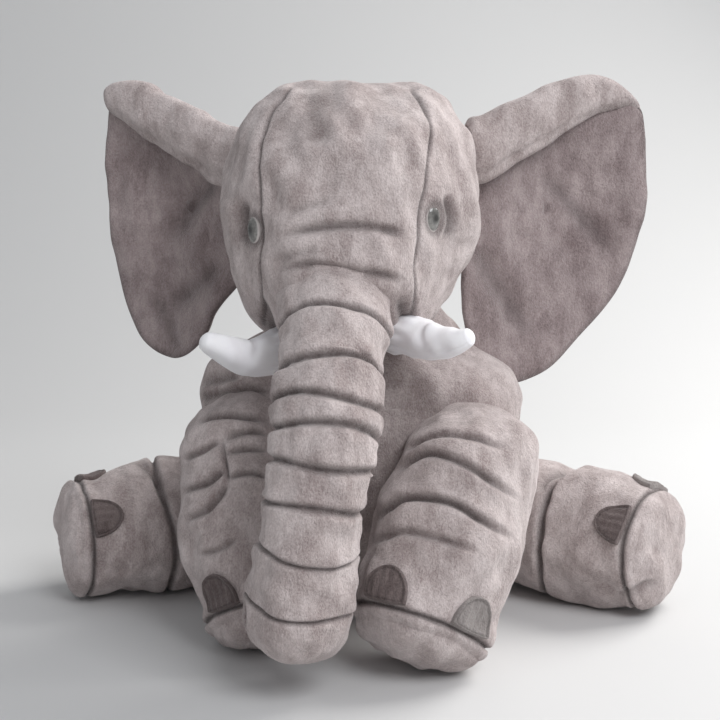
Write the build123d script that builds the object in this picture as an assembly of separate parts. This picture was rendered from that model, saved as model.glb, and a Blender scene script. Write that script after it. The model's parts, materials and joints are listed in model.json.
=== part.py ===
"""Stuffed plush elephant, sitting with its hind legs splayed and its trunk hanging.

Every part is a sewn cover with its own filling inside. The trunk, legs, head,
ears and tail are separate bodies. Each one starts in a ball (or, on an ear, a
rounded edge) round its joint, and the part that carries it has a hollow for it.

Lengths are millimetres. +Z is up, the elephant faces -Y, and the origin lies
on the floor under the middle of the elephant's box.
"""
import os
from math import asin, atan2, cos, radians, sin, sqrt

from build123d import *

# ---- driving dimensions -------------------------------------------------
PLUSH = 2.0              # thickness of the plush cloth
SLACK = 0.3              # room between a cover and its filling
JOINT_ROOM = 1.2         # room between a moving part's ball and its hollow
TUBE_ROOM = 1.0          # room beside a moving part's tube
EAR_END_ROOM = 13        # room past each end of an ear's sewn edge
EAR_SLOT_ROOM = 2        # room on each face of an ear inside the head
EAR_SLOT_MARGIN = 3      # degrees the slot is wider than the ear flaps
CRUMB = 5.0              # cubic mm: anything smaller is only an offcut

HEAD_RADIUS = 107
HEAD_YAW = -10           # head turned a little to the elephant's right
GUSSET_HALF_WIDTH = 44   # centre strip of the head, half its width
MUZZLE_RADIUS = 60
CHEEK_RADIUS = 46

CHEST_RADIUS = 118
RUMP_RADIUS = 138

TRUNK_RADII = (44, 42, 42, 41)   # at the face, the two bends and the tip
TRUNK_BEND_ROOM = 6      # hollow in the end of each length, so the next can bend

FORELEG_RADIUS = 57
FORELEG_LENGTH = 130     # shoulder centre to sole seam
FORELEG_SWING = 24       # degrees forwards and outwards
HINDLEG_RADIUS = 57
HINDLEG_LENGTH = 186     # hip centre to sole seam
HINDLEG_SPLAY = 12       # degrees each way
SOLE_DOME = 22           # how far a fore sole bulges past its seam
HIND_SOLE_DOME = 17

TOENAIL_WIDTH = 38
TOENAIL_HEIGHT = 26
TOENAIL_THICKNESS = 1.2
TOENAIL_SPREAD = 38      # degrees each side of the middle of the toes

TUSK_ROOT_RADIUS = 17
TUSK_TIP_RADIUS = 9

EYE_RADIUS = 10
EYE_STEM_RADIUS = 2.5
EYE_STEM_LENGTH = 16
WASHER_RADIUS = 9
WASHER_THICKNESS = 2

EAR_THICKNESS = 14
EAR_ROOT_LOW = -48       # ends of the sewn edge, above and below the ear's middle
EAR_ROOT_HIGH = 64
EAR_FLAP = (-12, 22)     # degrees back and forwards

HEAD_RAISE = 20          # degrees from hanging to lifted
TAIL_RADIUS = 9

# ---- places, measured from a point under the seat -------------------------
MIDDLE = (-0.92, 15.5)  # middle of the finished elephant's box, from that point


def at(x, y, z):
    """A place in the elephant's frame, whose origin is under its middle."""
    return Vector(x - MIDDLE[0], y - MIDDLE[1], z)


HEAD = at(-14, -33, 357)
NECK = at(-8, 6, 262)
MUZZLE = at(-20, -66, 312)
CHEEKS = {"left": at(-54, -62, 300), "right": at(18, -62, 300)}
CHEST = at(-4, 25, 165)
RUMP = at(6, 96, 126)
TRUNK_JOINTS = [at(-22, -118, 285), at(-30, -180, 215), at(-35, -196, 145)]
TRUNK_TIP = at(-49, -196, 68)
SHOULDERS = {"left": at(-104, -43, 148), "right": at(83, -92, 147)}
FORELEG_AIM = {"left": Vector(0.20, -0.43, -0.88), "right": Vector(-0.32, -0.43, -0.85)}
FORELEG_AXIS = {"left": Vector(-0.5, 0.87, 0), "right": Vector(-0.5, -0.87, 0)}
HIPS = {"left": at(-99, 122, 62), "right": at(111, 122, 62)}
HINDLEG_AIM = {"left": Vector(-0.90, -0.44, -0.02), "right": Vector(0.766, -0.643, -0.02)}
TUSK_ROOTS = {"left": at(-69, -83.5, 256), "right": at(33, -88.5, 266)}
TUSK_TIPS = {"left": at(-125, -126, 251), "right": at(79, -138, 261)}
EYES = {"left": at(-102, -92, 342), "right": at(59, -111, 352)}
EAR_ROOTS = {"left": at(-99, 13, 362), "right": at(81, -9, 360)}
EAR_AIM = {"left": Vector(-0.88, 0.47, 0), "right": Vector(0.97, 0.24, 0)}
TAIL_ROOT = at(6, 236, 172)
TAIL_TIP = at(6, 263, 98)

# The ear's edge, outwards and upwards from the middle of its sewn edge.
EAR_OUTLINE = [
    (0, EAR_ROOT_HIGH),
    (58, 92),
    (122, 98),
    (154, 66),
    (160, 8),
    (138, -70),
    (92, -130),
    (42, -148),
    (10, -112),
    (0, EAR_ROOT_LOW),
]

SIDES = ("left", "right")


def aimed(start, direction):
    """Location at start whose +Z runs along direction."""
    return Plane(origin=start, z_dir=direction).location


def ball(centre, radius):
    return Pos(centre) * Sphere(radius)


def turned(edges):
    """Solid made by turning a closed outline about the Z axis."""
    return revolve(make_face(edges), axis=Axis.Z)


def tapered_capsule(start, start_radius, end, end_radius):
    """Two balls joined by the cone that touches both."""
    length = (end - start).length
    slope = asin((start_radius - end_radius) / length)
    middle = (slope - radians(90)) / 2
    low = (start_radius * cos(slope), 0, start_radius * sin(slope))
    high = (end_radius * cos(slope), 0, length + end_radius * sin(slope))
    low_mid = (start_radius * cos(middle), 0, start_radius * sin(middle))
    rise = (slope + radians(90)) / 2
    high_mid = (end_radius * cos(rise), 0, length + end_radius * sin(rise))
    bottom = (0, 0, -start_radius)
    top = (0, 0, length + end_radius)
    outline = [
        ThreePointArc(bottom, low_mid, low),
        Line(low, high),
        ThreePointArc(high, high_mid, top),
        Line(top, bottom),
    ]
    return aimed(start, end - start) * turned(outline)


def leg_form(joint, aim, length, radius, dome, grow=0.0):
    """Leg: a ball at the joint, a round tube and a domed sole."""
    wide = radius + grow
    side = (wide, 0, 0)
    rim = (wide, 0, length)
    end = (0, 0, length + dome + grow)
    dome_radius = (wide**2 + (dome + grow) ** 2) / (2 * (dome + grow))
    half_angle = asin(wide / dome_radius) / 2
    dome_mid = (
        dome_radius * sin(half_angle),
        0,
        end[2] - dome_radius * (1 - cos(half_angle)),
    )
    outline = [
        ThreePointArc((0, 0, -wide), (wide * cos(radians(45)), 0, -wide * sin(radians(45))), side),
        Line(side, rim),
        ThreePointArc(rim, dome_mid, end),
        Line(end, (0, 0, -wide)),
    ]
    return aimed(joint, aim) * turned(outline)


def beyond(point, direction, reach=400):
    """Large block that covers everything past a plane."""
    return aimed(point, direction) * Box(reach, reach, reach, align=(Align.CENTER, Align.CENTER, Align.MIN))


def without(shape, *tools):
    """What is left of a shape once every tool is cut from it."""
    solids = shape.solids()
    for tool in tools:
        solids = [piece for solid in solids for piece in solid.cut(tool).solids()]
    return Compound(children=[solid for solid in solids if solid.volume > CRUMB])


def within(shape, block):
    """The part of a shape that lies inside a block."""
    meets = [solid & block for solid in shape.solids()]
    return Compound(children=[piece for meet in meets if meet for piece in meet.solids()])


def swing(shape, joint, axis, angle):
    return shape.rotate(Axis(joint, axis), angle)


def swung_room(joint, aim, length, radius, axis, angles):
    """Tools for the space a round limb sweeps: its ball, and its tube at each angle."""
    tube = Cylinder(radius + TUBE_ROOM, length, align=(Align.CENTER, Align.CENTER, Align.MIN))
    tube = aimed(joint, aim) * tube
    return [ball(joint, radius + JOINT_ROOM)] + [swing(tube, joint, axis, angle) for angle in angles]


def steps(low, high, count):
    """Angles from low to high, evenly spaced."""
    return [low + (high - low) * i / (count - 1) for i in range(count)]


# ---- moving parts as plain forms ----------------------------------------
def foreleg_form(side, grow=0.0):
    return leg_form(SHOULDERS[side], FORELEG_AIM[side], FORELEG_LENGTH, FORELEG_RADIUS, SOLE_DOME, grow)


def hindleg_form(side, grow=0.0):
    return leg_form(HIPS[side], HINDLEG_AIM[side], HINDLEG_LENGTH, HINDLEG_RADIUS, HIND_SOLE_DOME, grow)


def dished_tube(start, start_radius, end, end_radius, dish_radius):
    """Ball and tube whose far end is dished, leaving room for a ball at end."""
    length = (end - start).length
    slope = asin((start_radius - end_radius) / length)
    middle = (slope - radians(90)) / 2
    low = Vector(start_radius * cos(slope), 0, start_radius * sin(slope))
    high = Vector(end_radius * cos(slope), 0, length + end_radius * sin(slope))
    side = high - low
    back = low - Vector(0, 0, length)
    a, b, c = side.dot(side), 2 * side.dot(back), back.dot(back) - dish_radius**2
    rim = low + side * ((-b - sqrt(b * b - 4 * a * c)) / (2 * a))
    spread = atan2(rim.X, length - rim.Z) / 2
    dish_mid = (dish_radius * sin(spread), 0, length - dish_radius * cos(spread))
    bottom = (0, 0, -start_radius)
    dish = (0, 0, length - dish_radius)
    outline = [
        ThreePointArc(bottom, (start_radius * cos(middle), 0, start_radius * sin(middle)), low),
        Line(low, rim),
        ThreePointArc(rim, dish_mid, dish),
        Line(dish, bottom),
    ]
    return aimed(start, end - start) * turned(outline)


def trunk_form(index, grow=0.0):
    """One length of the trunk, from its joint to the next joint or the tip."""
    ends = TRUNK_JOINTS + [TRUNK_TIP]
    start, end = ends[index], ends[index + 1]
    start_radius = TRUNK_RADII[index] + grow
    end_radius = TRUNK_RADII[index + 1] + grow
    if index + 1 < len(TRUNK_JOINTS):
        dish_radius = TRUNK_RADII[index + 1] + TRUNK_BEND_ROOM - grow
        return dished_tube(start, start_radius, end, end_radius, dish_radius)
    return tapered_capsule(start, start_radius, end, end_radius)


def head_form(grow=0.0):
    form = ball(HEAD, HEAD_RADIUS + grow) + ball(MUZZLE, MUZZLE_RADIUS + grow)
    for cheek in CHEEKS.values():
        form = form + ball(cheek, CHEEK_RADIUS + grow)
    return form


def torso_form(grow=0.0):
    """Chest and rump balls with a cone between, flat where it sits."""
    form = tapered_capsule(RUMP, RUMP_RADIUS + grow, CHEST, CHEST_RADIUS + grow)
    return form - beyond(Vector(0, 0, -grow), Vector(0, 0, -1), 900)


def tail_form(grow=0.0):
    return tapered_capsule(TAIL_ROOT, TAIL_RADIUS + grow, TAIL_TIP, TAIL_RADIUS - 3 + grow)


def tusk_form(side, grow=0.0):
    return tapered_capsule(
        TUSK_ROOTS[side],
        TUSK_ROOT_RADIUS + grow,
        TUSK_TIPS[side],
        TUSK_TIP_RADIUS + grow,
    )


def ear_place(side):
    """Ear's own frame: X outwards, Y upwards, Z through its thickness."""
    return Plane(origin=EAR_ROOTS[side], x_dir=EAR_AIM[side], z_dir=EAR_AIM[side].cross(Vector(0, 0, 1)))


def ear_panel(side, low, high):
    """Ear between two depths, with its sewn edge rounded about the hinge."""
    place = ear_place(side)
    edge = Spline(EAR_OUTLINE) + Line(EAR_OUTLINE[-1], EAR_OUTLINE[0])
    panel = extrude(Pos(0, 0, low) * make_face(edge), amount=high - low)
    root = Pos(0, (EAR_ROOT_LOW + EAR_ROOT_HIGH) / 2, 0) * Rot(90, 0, 0) * Cylinder(
        EAR_THICKNESS / 2, EAR_ROOT_HIGH - EAR_ROOT_LOW
    )
    slab = Pos(0, 0, (low + high) / 2) * Box(600, 600, high - low)
    return place.location * (panel + (root & slab))


def ear_room(side):
    """Fan-shaped space the sewn end of an ear needs inside the head as it flaps."""
    wide = EAR_THICKNESS + 2 * EAR_SLOT_ROOM
    low = EAR_ROOT_LOW - EAR_END_ROOM
    high = EAR_ROOT_HIGH + EAR_END_ROOM
    back, forwards = ear_turns(side)
    plan = Circle(wide / 2)
    for angle in steps(back - EAR_SLOT_MARGIN, forwards + EAR_SLOT_MARGIN, 6):
        aim = EAR_AIM[side].rotate(Axis.Z, angle)
        heading = aim.get_signed_angle(Vector(1, 0, 0), Vector(0, 0, -1))
        plan = plan + Rot(0, 0, heading) * Rectangle(60, wide, align=(Align.MIN, Align.CENTER))
    return Pos(EAR_ROOTS[side]) * Pos(0, 0, low) * extrude(plan, amount=high - low)


# ---- covers, fillings and small parts ------------------------------------
def cover_and_filling(form):
    """Splits a form into its plush cover and the filling inside it."""
    cover = form(0.0) - form(-PLUSH)
    filling = form(-PLUSH - SLACK)
    return cover, filling


def toenails(joint, aim, length, radius, front):
    """Two D-shaped cloth patches on a foot, straight edge on the sole seam."""
    across = front.cross(aim).normalized()
    ahead = aim.cross(across).normalized()
    if ahead.dot(front) < 0:
        ahead = ahead * -1
    skin = Cylinder(radius + TOENAIL_THICKNESS + 0.1, length) - Cylinder(radius + 0.1, length + 2)
    skin = aimed(joint, aim) * Pos(0, 0, length / 2) * skin
    centre = joint + aim.normalized() * length
    nails = []
    for turn in (-TOENAIL_SPREAD, TOENAIL_SPREAD):
        out = ahead.rotate(Axis((0, 0, 0), aim), turn)
        across_nail = out.cross(aim).normalized()
        flat = Plane(origin=centre, x_dir=across_nail, z_dir=out)
        place = flat.location
        up = 1 if flat.y_dir.dot(aim) < 0 else -1
        nail = Ellipse(TOENAIL_WIDTH / 2, TOENAIL_HEIGHT) & (
            Pos(0, up * TOENAIL_HEIGHT / 2) * Rectangle(TOENAIL_WIDTH, TOENAIL_HEIGHT)
        )
        nails.append(skin & (place * extrude(nail, amount=radius + 6)))
    return Compound(children=[solid for nail in nails for solid in nail.solids()])


def eye_parts(side):
    """Domed eye on its stem, and the washer that locks it inside the head."""
    outward = (EYES[side] - HEAD).normalized()
    seat = HEAD + outward * HEAD_RADIUS
    place = aimed(seat, outward)
    dome = Pos(0, 0, -3) * Sphere(EYE_RADIUS)
    dome = dome & (Pos(0, 0, 0.3) * Box(40, 40, 20, align=(Align.CENTER, Align.CENTER, Align.MIN)))
    stem = Pos(0, 0, -EYE_STEM_LENGTH) * Cylinder(
        EYE_STEM_RADIUS, EYE_STEM_LENGTH + 1, align=(Align.CENTER, Align.CENTER, Align.MIN)
    )
    washer_at = -PLUSH - WASHER_THICKNESS - 0.8
    washer = Pos(0, 0, washer_at) * Cylinder(
        WASHER_RADIUS, WASHER_THICKNESS, align=(Align.CENTER, Align.CENTER, Align.MIN)
    )
    washer = washer - Pos(0, 0, washer_at) * Cylinder(EYE_STEM_RADIUS + 0.05, 20)
    stem_hole = place * Cylinder(EYE_STEM_RADIUS + 0.2, 2 * EYE_STEM_LENGTH + 2)
    washer_room = place * Pos(0, 0, washer_at - 0.3) * Cylinder(
        WASHER_RADIUS + 0.5, 12, align=(Align.CENTER, Align.CENTER, Align.MIN)
    )
    return place * (dome + stem), place * washer, stem_hole, washer_room


def build_torso(parts):
    cover, filling = cover_and_filling(torso_form)
    hollows = [ball(TAIL_ROOT, TAIL_RADIUS + JOINT_ROOM)]
    head_room = ball(HEAD, HEAD_RADIUS + JOINT_ROOM)
    hollows += [swing(head_room, NECK, Vector(-1, 0, 0), angle) for angle in steps(0, HEAD_RAISE, 4)]
    for side in SIDES:
        hollows += swung_room(
            SHOULDERS[side],
            FORELEG_AIM[side],
            FORELEG_LENGTH,
            FORELEG_RADIUS,
            FORELEG_AXIS[side],
            steps(0, FORELEG_SWING, 3),
        )
        hollows += swung_room(
            HIPS[side],
            HINDLEG_AIM[side],
            HINDLEG_LENGTH,
            HINDLEG_RADIUS,
            Vector(0, 0, 1),
            steps(-HINDLEG_SPLAY, HINDLEG_SPLAY, 3),
        )
    cover = without(cover, *hollows)
    filling = without(filling, *hollows)
    belly_side = beyond(RUMP, Vector(0, -0.35, -1), 900)
    parts["torso_belly_panel"] = within(cover, belly_side)
    parts["torso_back_panel"] = without(cover, belly_side)
    parts["torso_stuffing"] = filling


def build_head(parts):
    cover, filling = cover_and_filling(head_form)
    trunk_room = trunk_form(0, JOINT_ROOM)
    cover = without(cover, trunk_room)
    filling = without(filling, trunk_room)
    for side in SIDES:
        ear_slot = ear_room(side)
        eye, washer, stem_hole, washer_room = eye_parts(side)
        parts[f"eye_{side}"] = eye
        parts[f"eye_washer_{side}"] = washer
        tusk_room = tusk_form(side, 0.1)
        cover = without(cover, ear_slot, stem_hole, tusk_room)
        filling = without(filling, ear_slot, stem_hole, washer_room, tusk_room)
        parts[f"tusk_{side}_cover"] = tusk_form(side) - tusk_form(side, -PLUSH)
        parts[f"tusk_{side}_stuffing"] = tusk_form(side, -PLUSH - SLACK)
    across = Vector(1, 0, 0).rotate(Axis.Z, HEAD_YAW)
    left_side = beyond(HEAD - across * GUSSET_HALF_WIDTH, across * -1)
    right_side = beyond(HEAD + across * GUSSET_HALF_WIDTH, across)
    parts["head_left_panel"] = within(cover, left_side)
    parts["head_right_panel"] = within(cover, right_side)
    parts["head_centre_panel"] = without(cover, left_side, right_side)
    parts["head_stuffing"] = filling


def ear_turns(side):
    """An ear's range about +Z: forwards is the other way round on each side."""
    back, forwards = EAR_FLAP
    if side == "left":
        return back, forwards
    return -forwards, -back


def build_ears(parts):
    for side in SIDES:
        half = EAR_THICKNESS / 2
        near, far = ear_panel(side, -half, 0), ear_panel(side, 0, half)
        front, back = sorted((near, far), key=lambda panel: panel.center().Y)
        parts[f"ear_{side}_front_panel"] = front
        parts[f"ear_{side}_back_panel"] = back


def build_trunk(parts):
    names = ("trunk_root", "trunk_middle", "trunk_tip")
    for index, name in enumerate(names):
        cover, filling = cover_and_filling(lambda grow, i=index: trunk_form(i, grow))
        parts[f"{name}_cover"] = cover
        parts[f"{name}_stuffing"] = filling


def build_legs(parts):
    for side in SIDES:
        for kind, form, joint, aim, length, radius in (
            ("foreleg", foreleg_form, SHOULDERS[side], FORELEG_AIM[side], FORELEG_LENGTH, FORELEG_RADIUS),
            ("hindleg", hindleg_form, HIPS[side], HINDLEG_AIM[side], HINDLEG_LENGTH, HINDLEG_RADIUS),
        ):
            cover, filling = cover_and_filling(lambda grow, f=form, s=side: f(s, grow))
            past_seam = beyond(joint + aim.normalized() * length, aim)
            parts[f"{kind}_{side}_cover"] = without(cover, past_seam)
            parts[f"{kind}_{side}_sole"] = within(cover, past_seam)
            parts[f"{kind}_{side}_stuffing"] = filling
            front = Vector(0, -1, 0.2) if kind == "foreleg" else Vector(0, -0.45, 1)
            parts[f"{kind}_{side}_toenails"] = toenails(joint, aim, length, radius, front)


def build_tail(parts):
    parts["tail_cover"] = tail_form() - tail_form(-PLUSH)
    parts["tail_stuffing"] = tail_form(-PLUSH - SLACK)


def main():
    parts = {}
    build_torso(parts)
    build_head(parts)
    build_ears(parts)
    build_trunk(parts)
    build_legs(parts)
    build_tail(parts)
    os.makedirs("parts", exist_ok=True)
    for name, shape in parts.items():
        export_step(shape, f"parts/{name}.step")


main()
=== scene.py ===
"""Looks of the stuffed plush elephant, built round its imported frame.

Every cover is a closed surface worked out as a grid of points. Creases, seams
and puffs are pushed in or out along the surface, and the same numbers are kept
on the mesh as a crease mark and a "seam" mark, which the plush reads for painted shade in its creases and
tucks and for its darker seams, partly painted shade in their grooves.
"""
import json
import math

import bpy
import numpy as np
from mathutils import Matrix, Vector


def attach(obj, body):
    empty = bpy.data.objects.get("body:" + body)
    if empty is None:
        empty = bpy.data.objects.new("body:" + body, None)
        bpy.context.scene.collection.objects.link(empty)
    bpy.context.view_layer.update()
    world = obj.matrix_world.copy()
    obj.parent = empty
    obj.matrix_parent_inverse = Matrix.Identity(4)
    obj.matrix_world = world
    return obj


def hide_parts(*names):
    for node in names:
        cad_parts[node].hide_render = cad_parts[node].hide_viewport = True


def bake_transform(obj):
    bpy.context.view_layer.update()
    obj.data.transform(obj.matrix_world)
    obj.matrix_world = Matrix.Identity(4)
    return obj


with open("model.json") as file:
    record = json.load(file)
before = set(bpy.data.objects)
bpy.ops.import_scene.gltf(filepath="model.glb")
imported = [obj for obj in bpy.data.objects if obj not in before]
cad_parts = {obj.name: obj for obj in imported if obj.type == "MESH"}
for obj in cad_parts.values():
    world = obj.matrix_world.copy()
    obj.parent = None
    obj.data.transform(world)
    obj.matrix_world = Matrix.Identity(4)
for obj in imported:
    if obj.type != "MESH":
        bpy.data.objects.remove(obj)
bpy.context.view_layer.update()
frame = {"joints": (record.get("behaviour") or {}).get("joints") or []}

JOINTS = {joint["name"]: joint for joint in frame["joints"]}
SIDES = ("left", "right")
SIGN = {"left": -1.0, "right": 1.0}

# ---- sizes, in metres -----------------------------------------------------
HEAD_RADIUS = 0.107
LEG_RADIUS = 0.0565
FORELEG_LENGTH = 0.130
HINDLEG_LENGTH = 0.186
SEAM_WIDTH = 0.0022
SEAM_DEPTH = 0.0030
NAIL_WIDTH = 0.038
NAIL_HEIGHT = 0.026
FLOOR_TOUCH = 0.006
SEAT_TOUCH = 0.012


# ---- small sums -------------------------------------------------------------
def joint_at(name):
    return np.array(JOINTS[name]["pos_m"], float)


def unit(vector):
    return vector / np.linalg.norm(vector)


def step(low, high, value):
    """0 below low, 1 above high, and a smooth S between."""
    t = np.clip((value - low) / (high - low), 0.0, 1.0)
    return t * t * (3 - 2 * t)


def bell(gap, width):
    """1 where the gap is 0, falling off both ways in a bell of a given width."""
    return np.exp(-((gap / width) ** 2))


def lumps(points, size, seed, waves=14):
    """Soft unevenness: a sum of plane waves of one wavelength in seeded directions."""
    rng = np.random.default_rng(seed)
    heading = rng.normal(size=(waves, 3))
    heading /= np.linalg.norm(heading, axis=1, keepdims=True)
    pace = 2 * math.pi / size * rng.uniform(0.7, 1.4, waves)
    phase = rng.uniform(0, 2 * math.pi, waves)
    total = np.zeros(points.shape[:-1])
    for k in range(waves):
        total += np.sin(points @ heading[k] * pace[k] + phase[k])
    return total / math.sqrt(waves)


def curve_through(knots, count=40):
    """Points along a smooth (Catmull-Rom) curve through a few knots."""
    knots = np.asarray(knots, float)
    padded = np.vstack([2 * knots[0] - knots[1], knots, 2 * knots[-1] - knots[-2]])
    spans = len(knots) - 1
    t = np.linspace(0, spans, count)
    i = np.minimum(t.astype(int), spans - 1)
    f = (t - i)[:, None]
    a, b, c, d = padded[i], padded[i + 1], padded[i + 2], padded[i + 3]
    return 0.5 * (2 * b + (c - a) * f + (2 * a - 5 * b + 4 * c - d) * f**2 + (3 * b - a - 3 * c + d) * f**3)


def distance_to_curve(flat, knots):
    """Distance of flat points from a curve, and how far along it (0 to 1) they are nearest."""
    line = curve_through(knots)
    best = np.full(flat.shape[:-1], np.inf)
    along = np.zeros(flat.shape[:-1])
    for k in range(len(line) - 1):
        start, side = line[k], line[k + 1] - line[k]
        t = np.clip(((flat - start) @ side) / max(side @ side, 1e-12), 0, 1)
        gap = np.linalg.norm(flat - start - t[..., None] * side, axis=-1)
        nearer = gap < best
        best = np.where(nearer, gap, best)
        along = np.where(nearer, (k + t) / (len(line) - 1), along)
    return best, along


def tuck(gap, width, depth):
    """Height of a crease: a narrow groove with a low puff on both sides."""
    groove = bell(gap, width)
    puff = bell(gap, 4.2 * width)
    return depth * (0.60 * puff - 1.50 * groove), groove


EYE_LEVEL = np.array([0.008, -1.0635, 0.345])
TIP_DOWN = math.radians(6.4)
TURN = math.radians(0.72)
LEVEL_AHEAD = np.array([-math.sin(TURN), math.cos(TURN), 0.0])
AHEAD = LEVEL_AHEAD * math.cos(TIP_DOWN) - np.array([0.0, 0.0, math.sin(TIP_DOWN)])
RIGHTWARDS = np.array([math.cos(TURN), math.sin(TURN), 0.0])
UPWARDS = np.cross(RIGHTWARDS, AHEAD)


def front_drawing(points):
    """Points as an elevation drawn from in front: across and up per metre of distance from eye level."""
    rays = points - EYE_LEVEL
    depth = rays @ AHEAD
    return np.stack([rays @ RIGHTWARDS / depth, rays @ UPWARDS / depth], axis=-1)


def facing_front(points, normals):
    """1 where a surface faces the front, fading to 0 at its outline."""
    rays = unit_rows(EYE_LEVEL - points)
    return step(0.02, 0.30, np.sum(rays * normals, axis=-1))


def unit_rows(vectors):
    return vectors / np.maximum(np.linalg.norm(vectors, axis=-1, keepdims=True), 1e-12)


def front_creases(points, normals, lines):
    """Creases drawn on the front of a surface: their height, and how deep in a crease each point is, which
    sets the painted shade in the crease.
    """
    drawing = front_drawing(points)
    front = facing_front(points, normals)
    height = np.zeros(points.shape[:-1])
    shade_and_eye_zone = np.zeros(points.shape[:-1])
    for knots, width, depth in lines:
        gap, along = distance_to_curve(drawing, knots)
        fade = step(-0.02, 0.22, along) * step(-0.02, 0.22, 1 - along) * front
        change, groove = tuck(gap, width, depth)
        height += change * fade
        shade_and_eye_zone = np.maximum(shade_and_eye_zone, groove * fade * min(1.0, depth / 0.005))
    return height, shade_and_eye_zone


# ---- meshes -----------------------------------------------------------------
def normals_of(grid):
    """Outward directions of a closed grid of points, from its two running differences."""
    across = np.roll(grid, -1, axis=1) - np.roll(grid, 1, axis=1)
    return unit_rows(np.cross(across, np.gradient(grid, axis=0)))


def calm_at_poles(height):
    """Height faded out at both ends of a grid, where its rows draw together."""
    share = np.linspace(0, 1, len(height))[:, None]
    return height * step(0.0, 0.03, np.minimum(share, 1 - share))


def settled(grid, touch):
    """Grid with all that is lower than a small height squeezed into it, flat where it meets the floor."""
    low = grid[..., 2]
    squeezed = touch * np.exp((np.maximum(low, -0.2) - touch) / touch)
    grid[..., 2] = np.where(low < touch, squeezed, low)
    return grid


def closed_mesh(name, grid, low_pole, high_pole, marks):
    """Mesh of a closed tube of points, each end drawn together to one pole point, faces outwards."""
    rows, turns = grid.shape[:2]
    across = np.roll(grid, -1, axis=1) - grid
    if np.sum((grid - low_pole) * np.cross(across, np.gradient(grid, axis=0))) < 0:
        grid = grid[:, ::-1]
        marks = {mark: values[:, ::-1] for mark, values in marks.items()}
    points = np.vstack([grid.reshape(-1, 3), low_pole[None], high_pole[None]])
    ring = np.arange(turns)
    after = (ring + 1) % turns
    start = np.arange(rows - 1)[:, None] * turns
    quads = np.stack([start + ring, start + after, start + turns + after, start + turns + ring], axis=-1)
    low = np.stack([after, ring, np.full(turns, rows * turns)], axis=-1)
    last = (rows - 1) * turns
    high = np.stack([last + ring, last + after, np.full(turns, rows * turns + 1)], axis=-1)
    quads = quads.reshape(-1, 4)
    corners = np.concatenate([quads.ravel(), low.ravel(), high.ravel()]).astype(np.int32)
    sizes = np.concatenate([np.full(len(quads), 4), np.full(2 * turns, 3)])
    starts = np.concatenate([[0], np.cumsum(sizes)[:-1]]).astype(np.int32)
    mesh = bpy.data.meshes.new(name)
    mesh.vertices.add(len(points))
    mesh.vertices.foreach_set("co", points.astype(np.float32).ravel())
    mesh.loops.add(len(corners))
    mesh.loops.foreach_set("vertex_index", corners)
    mesh.polygons.add(len(sizes))
    mesh.polygons.foreach_set("loop_start", starts)
    mesh.polygons.foreach_set("loop_total", sizes.astype(np.int32))
    mesh.polygons.foreach_set("use_smooth", np.ones(len(sizes), bool))
    for mark, values in marks.items():
        attribute = mesh.attributes.new(mark, "FLOAT", "POINT")
        ends = [values[0].mean(), values[-1].mean()]
        attribute.data.foreach_set("value", np.concatenate([values.ravel(), ends]).astype(np.float32))
    mesh.update(calc_edges=True)
    mesh.validate()
    return mesh


def new_piece(mesh, material, replaced, body=None):
    """Object for a finished mesh, with its material, the CAD nodes it replaces hidden, and its body."""
    piece = bpy.data.objects.new(mesh.name, mesh)
    bpy.context.scene.collection.objects.link(piece)
    mesh.materials.append(material)
    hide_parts(*replaced)
    if body:
        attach(piece, body)
    return piece


def plush_piece(name, grid, poles, marks, replaced, body=None):
    """Closed piece in the body's grey plush."""
    return new_piece(closed_mesh(name, grid, *poles, marks), GREY_PLUSH, replaced, body)


def ends_of(grid):
    """The pole points of a grid: the middles of its first and last rows."""
    return grid[0].mean(axis=0), grid[-1].mean(axis=0)


# ---- stuffing the covers ------------------------------------------------------
STUFFING_PRESSURE = 4.0
CLOTH_FRAMES = 20
CLOTH_SLACK = 0.05


def finer(coarse, rows, turns):
    """A coarse closed grid of moves read back at every point of the full grid, as one subdivision."""
    row = np.linspace(0, coarse.shape[0] - 1, rows)
    low = np.minimum(row.astype(int), coarse.shape[0] - 2)
    share = (row - low)[:, None, None]
    tall = coarse[low] * (1 - share) + coarse[low + 1] * share
    turn = np.arange(turns) * coarse.shape[1] / turns
    left = turn.astype(int)
    share = (turn - left)[None, :, None]
    return tall[:, left] * (1 - share) + tall[:, (left + 1) % coarse.shape[1]] * share


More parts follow.
